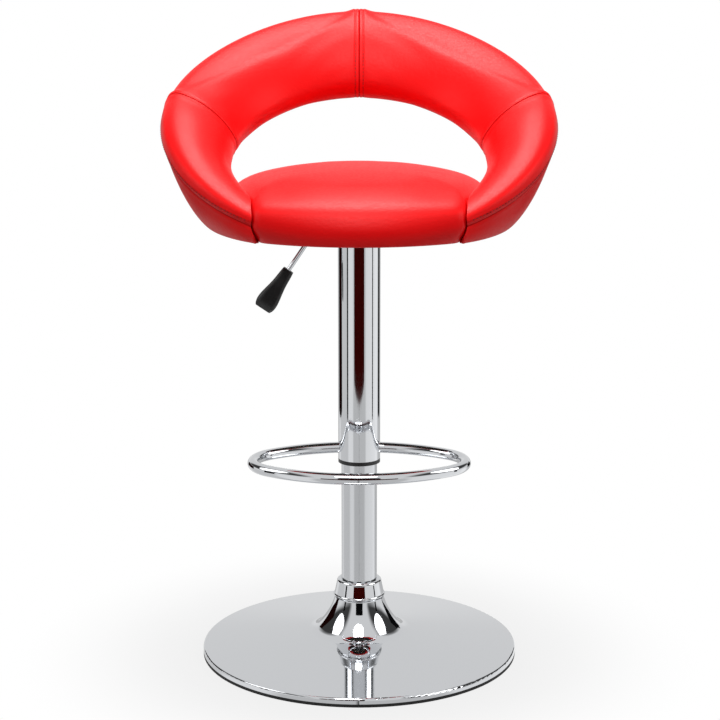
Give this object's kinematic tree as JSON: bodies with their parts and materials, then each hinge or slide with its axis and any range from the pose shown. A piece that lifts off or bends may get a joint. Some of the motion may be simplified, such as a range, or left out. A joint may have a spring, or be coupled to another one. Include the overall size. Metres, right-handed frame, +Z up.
{
  "type": "bar stool",
  "caption": "Gas-lift bar stool with a red padded crescent back and arms, chrome column, foot ring and round trumpet base",
  "frame": {"origin": "on the floor at the column's axis, under the middle of the base", "axes": "+Z up along the column, -Y towards the front of the seat, +X to the right as seen from the front"},
  "size_m": [0.5, 0.4593, 0.8229],
  "materials": {
    "red_leather": "bright red faux leather with a fine pebble grain and a soft sheen",
    "mirror_chrome": "polished chrome plating",
    "satin_chrome": "chrome plating over a drawn tube, slightly dulled",
    "floor_rubber": "moulded matt black rubber",
    "black_plastic": "moulded black plastic, fine spark texture",
    "zinc_steel": "zinc plated steel",
    "ground_steel": "ground bare steel",
    "black_paint": "black powder coat",
    "seal_rubber": "nitrile rubber",
    "plywood": "bare plywood",
    "dust_fabric": "black spun-bonded cloth"
  },
  "bodies": {
    "base": {"base_floor_ring": "floor_rubber", "base_plate": "zinc_steel", "base_shell": "mirror_chrome", "base_socket": "zinc_steel", "base_bolts": "zinc_steel", "base_collar": "mirror_chrome", "standpipe": "satin_chrome", "standpipe_end_plate": "zinc_steel", "standpipe_guide": "black_plastic", "bearing_lower_washer": "ground_steel"},
    "bearing": {"bearing_cage": "black_plastic", "bearing_balls": "ground_steel"},
    "rod": {"piston_rod": "ground_steel", "rod_clip": "zinc_steel", "rubber_buffer": "seal_rubber", "piston_head": "ground_steel", "piston_seal": "seal_rubber", "bearing_upper_washer": "ground_steel"},
    "seat": {"gas_cylinder": "black_paint", "cylinder_rod_guide": "ground_steel", "cylinder_rod_seal": "seal_rubber", "valve_block": "ground_steel", "sleeve": "mirror_chrome", "sleeve_bush": "black_plastic", "foot_ring": "mirror_chrome", "seat_plate": "black_paint", "taper_socket": "black_paint", "plate_washers": "zinc_steel", "plate_screws": "zinc_steel", "tee_nuts": "zinc_steel", "lever_bracket": "black_paint", "lever_pin": "zinc_steel", "lever_pin_clips": "zinc_steel", "back_frame": "black_paint", "frame_strap_left": "black_paint", "frame_strap_right": "black_paint", "strap_screws": "zinc_steel", "seat_board": "plywood", "seat_cushion": "red_leather", "dust_cover": "dust_fabric", "back_pad_left": "red_leather", "back_pad_right": "red_leather", "arm_pad_left": "red_leather", "arm_pad_right": "red_leather"},
    "lever": {"lever_rod": "mirror_chrome", "lever_grip": "black_plastic"},
    "valve": {"valve_pin": "ground_steel"}
  },
  "joints": [
    {"name": "seat_swivel", "type": "hinge", "parent": "base", "child": "rod", "pos_m": [0, 0, 0.03], "axis": [0, 0, 1], "continuous": true},
    {"name": "bearing_roll", "type": "hinge", "parent": "base", "child": "bearing", "pos_m": [0, 0, 0.03], "axis": [0, 0, 1], "continuous": true},
    {"name": "seat_lift", "type": "slide", "parent": "rod", "child": "seat", "axis": [0, 0, 1], "range_m": [0, 0.2]},
    {"name": "lever_lift", "type": "hinge", "parent": "seat", "child": "lever", "pos_m": [-0.033, 0, 0.5565], "axis": [0, 1, 0], "range_deg": [0, 6]},
    {"name": "valve_press", "type": "slide", "parent": "seat", "child": "valve", "axis": [0, 0, -1], "range_m": [0, 0.005]}
  ],
  "couplings": [
    {"joint": "bearing_roll", "follows": "seat_swivel", "ratio": 0.5},
    {"joint": "valve_press", "follows": "lever_lift", "m_per_rad": 0.037}
  ]
}
